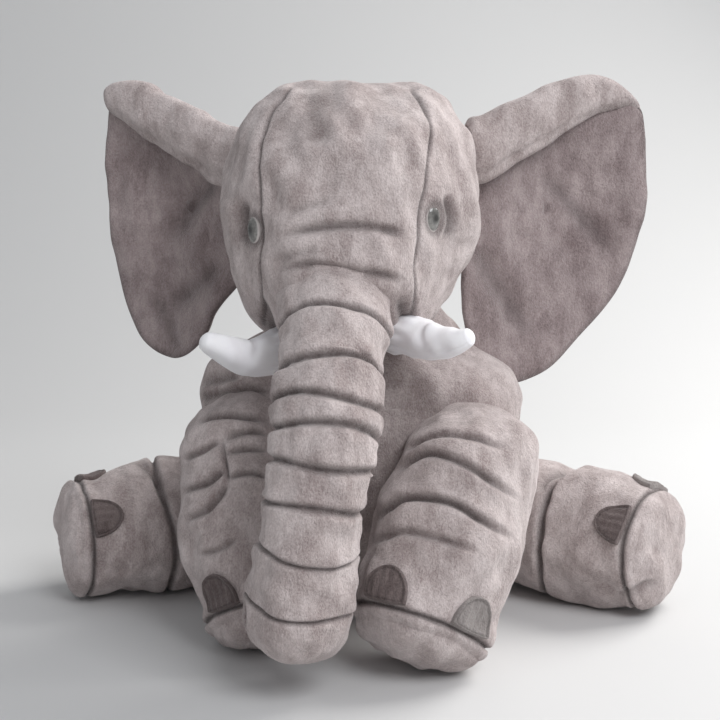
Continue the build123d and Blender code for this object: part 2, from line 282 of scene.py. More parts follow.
def stuffed(name, grid, held, most=0.0055):
    """A cover filled tight: cloth simulated under pressure, held where it is stitched or creased.

    The cloth is every second point of the grid, a little larger than its shape, so it puffs and wrinkles
    between the held lines. No point moves more than a small distance, so the cover keeps its place.
    """
    coarse = grid[::2, ::2]
    pins = held[::2, ::2].copy()
    pins[:3] = 1.0
    pins[-3:] = 1.0
    mesh = closed_mesh(name, coarse, *ends_of(coarse), {})
    cloth_piece = bpy.data.objects.new(name, mesh)
    bpy.context.scene.collection.objects.link(cloth_piece)
    group = cloth_piece.vertex_groups.new(name="stitches")
    for level in range(1, 11):
        chosen = np.flatnonzero(np.round(np.append(pins.ravel(), [1.0, 1.0]) * 10) == level)
        if len(chosen):
            group.add(chosen.tolist(), level / 10, "REPLACE")
    cloth = cloth_piece.modifiers.new("filling", "CLOTH")
    settings = cloth.settings
    settings.quality = 4
    settings.mass = 0.3
    settings.tension_stiffness = 12
    settings.compression_stiffness = 12
    settings.shear_stiffness = 6
    settings.bending_stiffness = 0.35
    settings.air_damping = 3
    settings.vertex_group_mass = "stitches"
    settings.pin_stiffness = 3
    settings.use_pressure = True
    settings.uniform_pressure_force = STUFFING_PRESSURE
    settings.shrink_min = -CLOTH_SLACK
    settings.effector_weights.gravity = 0.0
    cloth.collision_settings.use_collision = False
    cloth.point_cache.frame_start = 1
    cloth.point_cache.frame_end = CLOTH_FRAMES
    scene = bpy.context.scene
    for frame_number in range(1, CLOTH_FRAMES + 1):
        scene.frame_set(frame_number)
    shaped = cloth_piece.evaluated_get(bpy.context.evaluated_depsgraph_get()).data
    places = np.zeros(len(shaped.vertices) * 3, np.float32)
    shaped.vertices.foreach_get("co", places)
    places = places[: coarse.size].reshape(coarse.shape).astype(float)
    scene.frame_set(1)
    bpy.data.objects.remove(cloth_piece)
    bpy.data.meshes.remove(mesh)
    move = places - coarse
    move[~np.isfinite(move)] = 0.0
    for _ in range(3):
        move = (np.roll(move, 1, axis=1) + 2 * move + np.roll(move, -1, axis=1)) / 4
        move[1:-1] = (move[:-2] + 2 * move[1:-1] + move[2:]) / 4
    size = np.linalg.norm(move, axis=-1, keepdims=True)
    move *= most * np.tanh(size / most) / np.maximum(size, 1e-9)
    move *= (1 - step(0.6, 1.0, pins))[..., None]
    return grid + finer(move, *grid.shape[:2])


# ---- materials ----------------------------------------------------------------
class Shades:
    """A node tree being filled, with short ways to add and join its nodes."""

    def __init__(self, name):
        self.material = bpy.data.materials.new(name)
        self.material.use_nodes = True
        self.tree = self.material.node_tree
        self.shader = self.tree.nodes["Principled BSDF"]
        self.place = self.add("ShaderNodeTexCoord").outputs["Object"]

    def add(self, kind, **values):
        node = self.tree.nodes.new(kind)
        for key, value in values.items():
            if hasattr(node, key):
                setattr(node, key, value)
            else:
                node.inputs[key.replace("_", " ")].default_value = value
        return node

    def link(self, source, target):
        self.tree.links.new(source, target)

    def noise(self, scale, detail=3.0, rough=0.55, stretch=None):
        node = self.add("ShaderNodeTexNoise", Scale=scale, Detail=detail, Roughness=rough)
        if stretch:
            mapping = self.add("ShaderNodeMapping")
            mapping.inputs["Scale"].default_value = stretch
            self.link(self.place, mapping.inputs["Vector"])
            self.link(mapping.outputs["Vector"], node.inputs["Vector"])
        else:
            self.link(self.place, node.inputs["Vector"])
        return node.outputs["Fac"]

    def mark(self, name):
        return self.add("ShaderNodeAttribute", attribute_name=name).outputs["Fac"]

    def remap(self, value, low, high, to_low=0.0, to_high=1.0):
        node = self.add("ShaderNodeMapRange", interpolation_type="SMOOTHSTEP")
        for key, number in (("From Min", low), ("From Max", high), ("To Min", to_low), ("To Max", to_high)):
            node.inputs[key].default_value = number
        self.link(value, node.inputs["Value"])
        return node.outputs["Result"]

    def sum(self, operation, first, second):
        node = self.add("ShaderNodeMath", operation=operation)
        for socket, value in zip(node.inputs, (first, second)):
            if isinstance(value, float):
                socket.default_value = value
            else:
                self.link(value, socket)
        return node.outputs["Value"]

    def mix(self, factor, first, second, blend="MIX"):
        node = self.add("ShaderNodeMix", data_type="RGBA", blend_type=blend)
        if isinstance(factor, float):
            node.inputs["Factor"].default_value = factor
        else:
            self.link(factor, node.inputs["Factor"])
        for socket, value in ((node.inputs[6], first), (node.inputs[7], second)):
            if isinstance(value, tuple):
                socket.default_value = (*value, 1.0)
            else:
                self.link(value, socket)
        return node.outputs[2]

    def bump(self, height, strength, distance, below=None):
        node = self.add("ShaderNodeBump", Strength=strength, Distance=distance)
        self.link(height, node.inputs["Height"])
        if below is not None:
            self.link(below, node.inputs["Normal"])
        return node.outputs["Normal"]

    def surface(self, **values):
        for key, value in values.items():
            socket = self.shader.inputs[key.replace("_", " ")]
            if isinstance(value, (int, float, tuple)):
                socket.default_value = value if not isinstance(value, tuple) else (*value, 1.0)
            else:
                self.link(value, socket)
        return self.material


def plush(name, dark, light, sheen):
    """Short brushed pile: cloudy light and dark nap, fine fibre grain, painted shade in its creases and
    tucks, and darker seams, partly painted shade in their grooves.
    """
    s = Shades(name)
    clouds = s.remap(s.noise(19.0, 5.0, 0.6), 0.38, 0.64)
    strokes = s.remap(s.noise(62.0, 6.0, 0.68, stretch=(1.0, 1.0, 0.42)), 0.38, 0.62)
    fibres = s.noise(820.0, 2.0, 0.75, stretch=(1.0, 1.0, 0.6))
    nap = s.sum("ADD", s.sum("MULTIPLY", clouds, 0.28), s.sum("MULTIPLY", strokes, 0.36))
    nap = s.sum("ADD", nap, s.sum("MULTIPLY", s.remap(fibres, 0.30, 0.70), 0.36))
    colour = s.mix(nap, dark, light)
    # painted shade: the plush darkened where the crease mark is high, in creases, tucks and hollows and on
    # the chest, where shade falls
    colour = s.mix(s.sum("MULTIPLY", s.mark("shade_and_eye_zone"), 0.70), colour, tuple(0.15 * c for c in dark))
    # darker along the seams: partly the seam line's own dark, partly painted shade in the seam's groove
    colour = s.mix(s.sum("MULTIPLY", s.mark("seam"), 0.85), colour, tuple(0.10 * c for c in dark))
    coarse = s.bump(s.noise(210.0, 3.0, 0.6), 0.6, 0.0028)
    grain = s.bump(fibres, 1.0, 0.0015, coarse)
    return s.surface(
        Base_Color=colour,
        Roughness=0.95,
        Specular_IOR_Level=0.12,
        Sheen_Weight=sheen,
        Sheen_Roughness=0.38,
        Sheen_Tint=(0.93, 0.88, 0.87),
        Normal=grain,
    )


def tusk_cloth():
    """White brushed cloth with a fine knit and soft painted shade in its puckers."""
    s = Shades("tusk_white_cloth")
    cloud = s.remap(s.noise(60.0, 3.0), 0.35, 0.7)
    colour = s.mix(cloud, (0.93, 0.92, 0.95), (0.97, 0.965, 0.98))
    # painted shade in the puckers and the kink's dent
    colour = s.mix(s.sum("MULTIPLY", s.mark("shade_and_eye_zone"), 0.7), colour, (0.42, 0.38, 0.40))
    knit = s.bump(s.noise(1500.0, 1.0), 0.5, 0.0004)
    return s.surface(
        Base_Color=colour,
        Roughness=0.85,
        Specular_IOR_Level=0.2,
        Sheen_Weight=0.35,
        Sheen_Roughness=0.4,
        Normal=knit,
    )


def eye_glass():
    """Clear-coated plastic: soft dark centre, pearly grey-green iris with fine rays, and a pale rim."""
    s = Shades("eye_pearl_plastic")
    out = s.mark("shade_and_eye_zone")
    rays = s.noise(240.0, 4.0, 0.6)
    iris = s.mix(s.remap(rays, 0.3, 0.7), (0.135, 0.130, 0.122), (0.30, 0.292, 0.275))
    colour = s.mix(s.remap(out, 0.10, 0.75), (0.050, 0.048, 0.046), iris)
    colour = s.mix(s.remap(out, 0.80, 0.88), colour, (0.62, 0.57, 0.55))
    ripple = s.bump(s.noise(300.0, 2.0), 0.15, 0.0002)
    return s.surface(Base_Color=colour, Roughness=0.12, Coat_Weight=0.6, Normal=ripple)


GREY_PLUSH = plush("warm_grey_plush", (0.315, 0.250, 0.242), (0.760, 0.675, 0.662), 0.55)
# darker copy of the grey plush for the ear fronts: painted shade where the fronts turn away from the light
SHADED_EAR_PLUSH = plush("shaded_ear_front_plush", (0.215, 0.165, 0.165), (0.520, 0.435, 0.430), 0.45)
PALE_VELOUR = plush("pale_toenail_velour", (0.200, 0.172, 0.166), (0.370, 0.338, 0.326), 0.30)
EYE_GLASS = eye_glass()
NAIL_VELOUR = plush("dark_toenail_velour", (0.105, 0.080, 0.078), (0.250, 0.205, 0.198), 0.30)
TUSK_CLOTH = tusk_cloth()


# ---- limbs ----------------------------------------------------------------------
def limb_profile(radius, length, dome, rows):
    """Half outline of a limb: quarter ball, barrel, rounded seam and domed sole, evenly spaced."""
    ball = np.linspace(-math.pi / 2 + 0.03, 0, 60)
    bend = 0.012
    fillet = np.linspace(0, math.radians(66), 24)
    corner_r = radius - bend + bend * np.cos(fillet)
    corner_h = length - bend * 0.2 + bend * np.sin(fillet)
    ease = np.linspace(0, 1, 60)[1:]
    dome_r = corner_r[-1] * np.cos(ease * math.pi / 2) ** 0.85 + 1e-5
    dome_h = corner_h[-1] + (length + dome - corner_h[-1]) * np.sin(ease * math.pi / 2)
    out = np.concatenate([radius * np.cos(ball), np.full(80, radius), corner_r, dome_r])
    tube = np.linspace(0.001, length - bend * 0.3, 80)
    high = np.concatenate([radius * np.sin(ball), tube, corner_h, dome_h])
    travelled = np.concatenate([[0], np.cumsum(np.hypot(np.diff(out), np.diff(high)))])
    spot = np.linspace(0, travelled[-1], rows)
    out = np.interp(spot, travelled, out)
    high = np.interp(spot, travelled, high)
    barrel = 1 + 0.055 * np.sin(np.clip(high / length, 0, 1) * math.pi)
    return out * (barrel - 0.07 * step(0.75 * length, length, high)), high


class Limb:
    """A leg's own axes: along from joint to sole, front towards the toes, side across."""

    def __init__(self, joint, aim, length, front):
        self.joint = joint
        self.along = unit(np.array(aim))
        self.front = unit(front - self.along * (front @ self.along))
        self.side = np.cross(self.along, self.front)
        self.length = length

    def place(self, out, angle, high):
        """Points at a distance from the axis, an angle from the toes and a height along the leg."""
        spoke = np.cos(angle)[..., None] * self.front + np.sin(angle)[..., None] * self.side
        return self.joint + out[..., None] * spoke + high[..., None] * self.along


def leg_swell(limb, points, high, seed):
    """Soft lumps of the filling and the sole seam, and how near the seam each point is."""
    change, seam = tuck(high - limb.length, SEAM_WIDTH, SEAM_DEPTH)
    return change + 0.0024 * lumps(points, 0.075, seed) + 0.0009 * lumps(points, 0.026, seed + 1), seam


def leg(limb, dome, seed, body, replaced):
    """Stuffed leg: a turned outline pushed out and in by its ring seams, sole seam, creases and lumps."""
    rows, turns = 230, 240
    out, high = limb_profile(LEG_RADIUS, limb.length, dome, rows)
    angle = np.linspace(-math.pi, math.pi, turns, endpoint=False)
    out, angle = np.meshgrid(out, angle, indexing="ij")
    high = np.broadcast_to(high[:, None], out.shape)
    grid = limb.place(out, angle, high)
    # the crease mark carries painted shade in the leg's creases and ring grooves
    height, shade_and_eye_zone = front_creases(grid, normals_of(grid), LEG_LINES[body])
    height *= 1.2
    for share, tilt, width, depth in LEG_RINGS[body]:
        middle = limb.length * share + tilt * np.cos(angle + 0.6) + 0.003 * np.sin(3 * angle + seed)
        change, groove = tuck(high - middle, width, depth)
        height += change
        shade_and_eye_zone = np.maximum(shade_and_eye_zone, groove * min(1.0, depth / 0.005))
    change, seam = leg_swell(limb, grid, high, seed)
    height += change
    height *= step(0.0, 0.014, out)
    patch = np.exp(-(((np.abs(angle) - TOE_SPREAD) / math.radians(20)) ** 4))
    patch *= step(0.044, 0.030, limb.length - high)
    stitched = np.max([1.2 * shade_and_eye_zone, seam, patch], axis=0)
    held = np.clip(stitched + step(0.45 * limb.length, 0.15 * limb.length, high), 0, 1)
    name = f"{body}_plush"
    grid = stuffed(name, grid, held)
    ends = limb.joint - limb.along * LEG_RADIUS, limb.joint + limb.along * (limb.length + dome)
    grid = settled(grid + normals_of(grid) * height[..., None], FLOOR_TOUCH)
    plush_piece(name, grid, ends, {"shade_and_eye_zone": shade_and_eye_zone, "seam": seam}, replaced, body)


LEG_AIMS = {
    "foreleg_left": (0.20, -0.43, -0.88),
    "foreleg_right": (-0.32, -0.43, -0.85),
    "hindleg_left": (-0.90, -0.44, -0.02),
    "hindleg_right": (0.766, -0.643, -0.02),
}
LEG_RINGS = {
    "foreleg_left": (),
    "foreleg_right": (),
    "hindleg_left": [(0.60, 0.006, 0.0032, 0.0046)],
    "hindleg_right": [(0.58, 0.005, 0.0032, 0.0052)],
}
LEG_LINES = {
    "foreleg_left": [
        ([(-0.137, -0.051), (-0.115, -0.0467), (-0.0742, -0.0508)], 0.0029, 0.0042),
        ([(-0.115, -0.0658), (-0.0942, -0.0608), (-0.0758, -0.0617)], 0.0026, 0.0034),
        ([(-0.1165, -0.0640), (-0.1117, -0.085), (-0.1092, -0.104)], 0.0019, 0.0032),
        ([(-0.1492, -0.0842), (-0.1333, -0.0767), (-0.1150, -0.0667)], 0.0026, 0.0035),
        ([(-0.1143, -0.0792), (-0.0942, -0.075), (-0.0758, -0.0758)], 0.0026, 0.0032),
        ([(-0.1478, -0.1108), (-0.1292, -0.1033), (-0.1100, -0.0908)], 0.0028, 0.0039),
        ([(-0.1120, -0.0990), (-0.0917, -0.0958), (-0.0767, -0.1)], 0.0026, 0.0034),
        ([(-0.1437, -0.135), (-0.125, -0.1233), (-0.1080, -0.1010)], 0.0028, 0.0037),
        ([(-0.1358, -0.1625), (-0.1183, -0.1583), (-0.102, -0.1482)], 0.0028, 0.0025),
    ],
    "foreleg_right": [
        ([(0.0372, -0.0777), (0.05, -0.0692), (0.0683, -0.0642), (0.0958, -0.0667),
          (0.126, -0.0745)], 0.0030, 0.0034),
        ([(0.0288, -0.0953), (0.0458, -0.0833), (0.0642, -0.0808), (0.0992, -0.095),
          (0.1403, -0.12)], 0.0031, 0.0042),
        ([(0.0063, -0.137), (0.025, -0.1233), (0.0433, -0.1158), (0.0742, -0.1183), (0.0992, -0.1325),
          (0.1303, -0.1512)], 0.0032, 0.0048),
        ([(0.0022, -0.1537), (0.0333, -0.1433), (0.0617, -0.1475), (0.1012, -0.161)], 0.0031, 0.0029),
    ],
    "hindleg_left": [
        ([(-0.2253, -0.0892), (-0.1958, -0.085), (-0.1767, -0.0917), (-0.1605, -0.1103)], 0.0040, 0.0034),
    ],
    "hindleg_right": [
        ([(0.2028, -0.0782), (0.1792, -0.0892), (0.1592, -0.1017), (0.1498, -0.1137)], 0.0040, 0.0044),
        ([(0.2122, -0.1975), (0.23, -0.1917), (0.2487, -0.1817)], 0.0031, 0.0027),
    ],
}
TOE_SPREAD = math.radians(38)


def toenail(name, limb, turn, dome, seed, body, pale):
    """D-shaped ribbed patch on the foot, flat edge on the seam, with a rolled rim round it."""
    rows, turns = 30, 96
    around = np.linspace(0, 2 * math.pi, turns, endpoint=False)
    share = np.linspace(0.02, 1, rows)[:, None]
    round_edge = np.where(np.sin(around) > 0, np.sin(around) * NAIL_HEIGHT, np.sin(around) * 0.0018)
    across = np.cos(around) * NAIL_WIDTH / 2
    x = share * across
    middle = NAIL_HEIGHT * 0.36
    y = middle + share * (round_edge - middle) + 0.0030
    ribs = 0.00035 * np.sin(x / 0.0011) * step(1.0, 0.86, share)
    rim = 0.0016 * bell(share - 0.93, 0.055)
    rise = 0.0016 * np.sqrt(np.maximum(1 - share**8, 0)) + ribs + rim
    outline_out, outline_high = limb_profile(LEG_RADIUS, limb.length, dome, 400)

    def on_leg(x, y, lift):
        high = limb.length - y
        out = np.interp(high, outline_high, outline_out)
        angle = turn + x / LEG_RADIUS
        swell, _ = leg_swell(limb, limb.place(out, angle, high), high, seed)
        return limb.place(out + swell + lift, angle, high)

    faces = [on_leg(x, y + 0 * x, lift) for lift in (-0.004 + 0 * rise, rise + 0.0012)]
    grid = np.vstack([faces[0], faces[1][::-1]])
    # painted shade just inside the rolled rim
    shade_and_eye_zone = np.vstack([0 * x, (0.5 * bell(share - 0.83, 0.05) + 0 * x)[::-1]])
    poles = [on_leg(np.zeros(1), np.full(1, middle + 0.003), lift)[0] for lift in (-0.004, 0.0028)]
    mesh = closed_mesh(name, grid, *poles, {"shade_and_eye_zone": shade_and_eye_zone, "seam": 0 * shade_and_eye_zone})
    new_piece(mesh, PALE_VELOUR if pale else NAIL_VELOUR, (f"{body}_toenails",), body=body)


def build_legs():
    fronts = {"foreleg": np.array([0, -1, 0.2]), "hindleg": np.array([0, -0.45, 1])}
    domes = {"foreleg": 0.029, "hindleg": 0.019}
    lengths = {"foreleg": FORELEG_LENGTH, "hindleg": HINDLEG_LENGTH}
    joints = {"foreleg": "swing", "hindleg": "splay"}
    for kind in ("foreleg", "hindleg"):
        for number, side in enumerate(SIDES):
            body = f"{kind}_{side}"
            limb = Limb(joint_at(f"{body}_{joints[kind]}"), LEG_AIMS[body], lengths[kind], fronts[kind])
            replaced = [f"{body}_{part}" for part in ("cover", "sole", "stuffing")]
            seed = 30 + number if kind == "foreleg" else 40 + number
            leg(limb, domes[kind], seed, body, replaced)
            for nail, turn in (("a", -TOE_SPREAD), ("b", TOE_SPREAD)):
                pale = nail == "a" and side == "right"
                toenail(f"{body}_toenail_{nail}", limb, turn, domes[kind], seed, body, pale)


# ---- rounded bodies: head and torso -------------------------------------------------
def swelling(points, balls, blend):
    """Signed distance to a few balls melted together: negative inside, softer joins for a larger blend."""
    total = np.zeros(points.shape[:-1])
    for centre, radius in balls:
        total += np.exp(-(np.linalg.norm(points - centre, axis=-1) - radius) / blend)
    return -blend * np.log(np.maximum(total, 1e-300))


def melted_grid(middle, pole, start, rows, turns, balls, blend, reach=0.32):
    """Surface of melted balls as seen from a middle point: rows from pole to pole, turns round them."""
    pole = unit(pole)
    start = unit(start - pole * (start @ pole))
    side = np.cross(pole, start)
    tilt = np.linspace(0.012, math.pi - 0.012, rows)[:, None]
    turn = np.linspace(0, 2 * math.pi, turns, endpoint=False)[None]
    spoke = np.cos(turn)[..., None] * start + np.sin(turn)[..., None] * side
    heading = -np.cos(tilt)[..., None] * pole + np.sin(tilt)[..., None] * spoke
    near = np.full((rows, turns), 0.01)
    far = np.full((rows, turns), reach)
    for _ in range(26):
        half = (near + far) / 2
        inside = swelling(middle + half[..., None] * heading, balls, blend) < 0
        near = np.where(inside, half, near)
        far = np.where(inside, far, half)
    return middle + near[..., None] * heading, heading


HEAD_MELT = 0.009
HEAD_MIDDLE = np.array([-0.0131, -0.0485, 0.357])
HEAD_BALLS = [
    (HEAD_MIDDLE, 0.1035),
    (HEAD_MIDDLE + (0.046, -0.006, 0.046), 0.052),
    (HEAD_MIDDLE + (-0.040, -0.004, 0.046), 0.048),
    (HEAD_MIDDLE + (-0.004, -0.060, -0.046), 0.052),
    (HEAD_MIDDLE + (-0.006, -0.030, -0.045), 0.058),
    (HEAD_MIDDLE + (-0.044, -0.030, -0.052), 0.044),
    (HEAD_MIDDLE + (0.033, -0.030, -0.052), 0.044),
]
HEAD_SEAMS = [
    [(-0.0500, 0.2450), (-0.0560, 0.2230), (-0.0708, 0.2067), (-0.0792, 0.1875), (-0.0817, 0.1667),
     (-0.0825, 0.125), (-0.0817, 0.0833),
     (-0.08, 0.05), (-0.0767, 0.0233)],
    [(0.0350, 0.2450), (0.0450, 0.2233), (0.0558, 0.2042), (0.0575, 0.1833), (0.055, 0.1625),
     (0.0525, 0.1408), (0.05, 0.1208),
     (0.0475, 0.0917), (0.0425, 0.0725), (0.0425, 0.05), (0.04, 0.025)],
]
HEAD_LINES = [
    ([(-0.0625, 0.1188), (-0.0417, 0.1283), (-0.0230, 0.1338)], 0.0034, 0.0018),
    ([(-0.0660, 0.1013), (-0.0408, 0.1083), (-0.0058, 0.1117), (0.0225, 0.1083),
      (0.0360, 0.1022)], 0.0036, 0.0038),
    ([(-0.0670, 0.0812), (-0.05, 0.0875), (-0.0313, 0.0917)], 0.0040, 0.0018),
    ([(-0.0690, 0.0738), (-0.0408, 0.0792), (-0.0117, 0.0742), (0.0167, 0.0717),
      (0.0343, 0.0647)], 0.0038, 0.0036),
    ([(0.0690, 0.139), (0.0742, 0.125), (0.0755, 0.1133), (0.0725, 0.0985)], 0.0034, 0.0044),
    ([(-0.0955, 0.1323), (-0.0982, 0.115), (-0.0955, 0.0953)], 0.0034, 0.0044),
    ([(-0.0310, 0.250), (-0.0320, 0.2203), (-0.0367, 0.1987), (-0.040, 0.178)], 0.0130, 0.0016),
    ([(-0.0817, 0.055), (-0.0733, 0.035), (-0.0683, 0.0167), (-0.065, 0.0003)], 0.0050, 0.0042),
    ([(0.0317, 0.055), (0.0367, 0.035), (0.035, 0.0167), (0.03, 0.0003)], 0.0050, 0.0042),
]
EYE_SPOTS = {"left": (-0.0915, 0.1083), "right": (0.0633, 0.1183)}


def build_head():
    """Plush head of melted balls, with its gusset seams, brow creases and a hollow round each eye."""
    yaw = math.radians(-10)
    across = np.array([math.cos(yaw), math.sin(yaw), 0.0])
    down = np.array([0.0, 0.0, -1.0])
    grid, heading = melted_grid(HEAD_MIDDLE, across, down, 270, 320, HEAD_BALLS, HEAD_MELT)
    normals = normals_of(grid)
    height, shade_and_eye_zone = front_creases(grid, normals, HEAD_LINES)
    drawing = front_drawing(grid)
    front = facing_front(grid, normals)
    seam = np.zeros(height.shape)
    for knots in HEAD_SEAMS:
        gap, along = distance_to_curve(drawing, knots)
        change, groove = tuck(gap, 0.0014, 0.0014)
        shown = front * step(0.0, 0.12, along)
        height += change * shown
        seam = np.maximum(seam, 0.75 * groove * shown)
    lobe = np.linalg.norm((drawing - (-0.058, 0.211)) / (1.35, 1.0), axis=-1)
    height += 0.0035 * bell(lobe, 0.016) * front
    for spot in EYE_SPOTS.values():
        gap = np.linalg.norm((drawing - spot) / (0.8, 1.25), axis=-1)
        socket = 0.0022 * bell(gap, 0.020) - 0.0058 * bell(gap, 0.0088)
        height += socket * front
        # painted shade round the rim of each eye's hollow
        shade_and_eye_zone = np.maximum(shade_and_eye_zone, 0.75 * bell(gap - 0.0095, 0.0035) * front)
    rear = (heading @ across)
    change, groove = tuck(np.abs(rear * HEAD_RADIUS) - 0.044, 0.0020, 0.0024)
    back = step(-0.1, 0.25, (grid - HEAD_MIDDLE)[..., 1] / HEAD_RADIUS)
    height += change * back
    seam = np.maximum(seam, groove * back)
    height += 0.0026 * lumps(grid, 0.085, 11) + 0.0009 * lumps(grid, 0.028, 12)
    height = calm_at_poles(height)
    gaps = [np.linalg.norm(drawing - spot, axis=-1) for spot in EYE_SPOTS.values()]
    sockets = np.exp(-((np.min(gaps, axis=0) / 0.016) ** 4))
    held = np.clip(np.max([1.2 * shade_and_eye_zone, seam, sockets * front], axis=0), 0, 1)
    grid = stuffed("head_plush", grid, held, most=0.0035)
    poles = ends_of(grid)
    grid = grid + normals_of(grid) * height[..., None]
    replaced = [f"head_{part}" for part in ("left_panel", "centre_panel", "right_panel", "stuffing")]
    replaced += [f"eye_washer_{side}" for side in SIDES]
    plush_piece("head_plush", grid, poles, {"shade_and_eye_zone": shade_and_eye_zone, "seam": seam}, replaced, "head")


TORSO_MIDDLE = np.array([0.002, 0.055, 0.135])
TORSO_BALLS = [
    (np.array([-0.003, 0.0095, 0.165]), 0.110),
    (np.array([0.007, 0.0805, 0.126]), 0.128),
    (np.array([-0.007, -0.010, 0.245]), 0.060),
    (np.array([-0.093, -0.020, 0.193]), 0.047),
    (np.array([0.080, -0.042, 0.190]), 0.047),
    (np.array([-0.082, 0.090, 0.075]), 0.062),
    (np.array([0.096, 0.090, 0.075]), 0.062),
]
TORSO_LINES = [
    ([(-0.1362, -0.0257), (-0.1167, -0.0158), (-0.098, -0.0133)], 0.0042, 0.0036),
    ([(-0.1378, -0.0375), (-0.1167, -0.0283), (-0.0917, -0.025), (-0.073, -0.0267)], 0.0042, 0.0040),
]


def build_torso():
    """Plush body, flat where it sits, with a seam down its back, a belly seam, soft dents at the legs and
    painted shade on its chest.
    """
    up = np.array([0.0, 0.0, 1.0])
    grid, heading = melted_grid(TORSO_MIDDLE, up, np.array([0.0, 1.0, 0.0]), 240, 320, TORSO_BALLS, 0.014)
    normals = normals_of(grid)
    height, shade_and_eye_zone = front_creases(grid, normals, TORSO_LINES)
    # painted shade on the chest, under the head between the trunk and the right foreleg, put into the crease
    # mark
    chest = np.linalg.norm((front_drawing(grid) - (0.022, -0.060)) / (1.0, 1.5), axis=-1)
    shade = step(0.080, 0.030, chest) * facing_front(grid, normals)
    shade_and_eye_zone = np.maximum(shade_and_eye_zone, 0.30 * shade)
    back = step(0.05, 0.25, heading[..., 1])
    change, seam = tuck(grid[..., 0] - 0.005, 0.0022, 0.0028)
    height += change * back
    seam = seam * back
    girth = heading[..., 1] + 0.10 * np.sin(2.2 * grid[..., 2] / 0.28)
    change, groove = tuck(girth * 0.12, 0.0022, 0.0026)
    height += change
    seam = np.maximum(seam, groove)
    height += 0.0038 * lumps(grid, 0.10, 21) + 0.0012 * lumps(grid, 0.032, 22)
    height = calm_at_poles(height)
    seat = step(0.06, 0.0, grid[..., 2])
    grid = stuffed("torso_plush", grid, np.clip(np.max([1.2 * shade_and_eye_zone, seam, seat], axis=0), 0, 1))
    grid = settled(grid + normals * height[..., None], SEAT_TOUCH)
    replaced = [f"torso_{part}" for part in ("belly_panel", "back_panel", "stuffing")]
    plush_piece("torso_plush", grid, ends_of(grid), {"shade_and_eye_zone": shade_and_eye_zone, "seam": seam}, replaced, "torso")


# ---- trunk ------------------------------------------------------------------------
TRUNK_LINE = [
    (-0.0175, -0.062, 0.345),
    (-0.0195, -0.100, 0.318),
    (-0.0225, -0.1335, 0.285),
    (-0.0250, -0.1660, 0.250),
    (-0.0270, -0.1900, 0.212),
    (-0.0305, -0.2030, 0.180),
    (-0.0350, -0.2100, 0.145),
    (-0.0420, -0.2125, 0.105),
    (-0.0480, -0.2110, 0.0665),
]
TRUNK_GIRTH = [(0.0, 0.0440), (0.30, 0.0425), (0.46, 0.0385), (0.62, 0.0385), (0.74, 0.0365),
               (0.88, 0.0358), (1.0, 0.0378), (1.2, 0.0385)]
TRUNK_RINGS = [
    (0.381, -0.0030, 0.0024, 0.0028),
    (0.480, 0.0000, 0.0028, 0.0040),
    (0.557, 0.0022, 0.0026, 0.0036),
    (0.613, 0.0012, 0.0024, 0.0034),
    (0.6875, 0.0000, 0.0026, 0.0038),
    (0.7665, 0.0016, 0.0023, 0.0032),
    (0.871, 0.0008, 0.0017, 0.0023),
    (0.988, -0.0010, 0.0017, 0.0022),
]
TRUNK_CUTS = (0.480, 0.6875)
TRUNK_LAP = 0.010
TRUNK_WAVE = 0.0020
TRUNK_END = 0.0385


class Trunk:
    """The trunk's centreline, with a spoke forwards and a spoke sideways at each place along it."""

    def __init__(self):
        self.line = curve_through(TRUNK_LINE, 400)
        gaps = np.linalg.norm(np.diff(self.line, axis=0), axis=1)
        self.travelled = np.concatenate([[0], np.cumsum(gaps)])
        self.length = self.travelled[-1]

    def at(self, distance):
        return np.stack([np.interp(distance, self.travelled, self.line[:, k]) for k in range(3)], axis=-1)

    def axes(self, distance):
        distance = np.minimum(distance, self.length - 0.003)
        along = unit_rows(self.at(distance + 0.002) - self.at(distance - 0.002))
        sideways = unit_rows(np.cross(along, np.array([0.0, -0.25, 1.0])))
        return np.cross(sideways, along), sideways


def trunk_ring(trunk, share, tilt, angle):
    """Where a crease runs round the trunk: a little lower or higher in front and gently wavy."""
    return share * trunk.length + tilt * np.cos(angle) + TRUNK_WAVE * np.sin(2 * angle + 40 * share)


def rounded_end(share):
    """Radius of a rounded end, from 0 at its pole to 1 where the tube begins."""
    return np.sqrt(np.clip(1 - (1 - np.clip(share, 0, 1)) ** 2, 0, 1)) ** 0.6


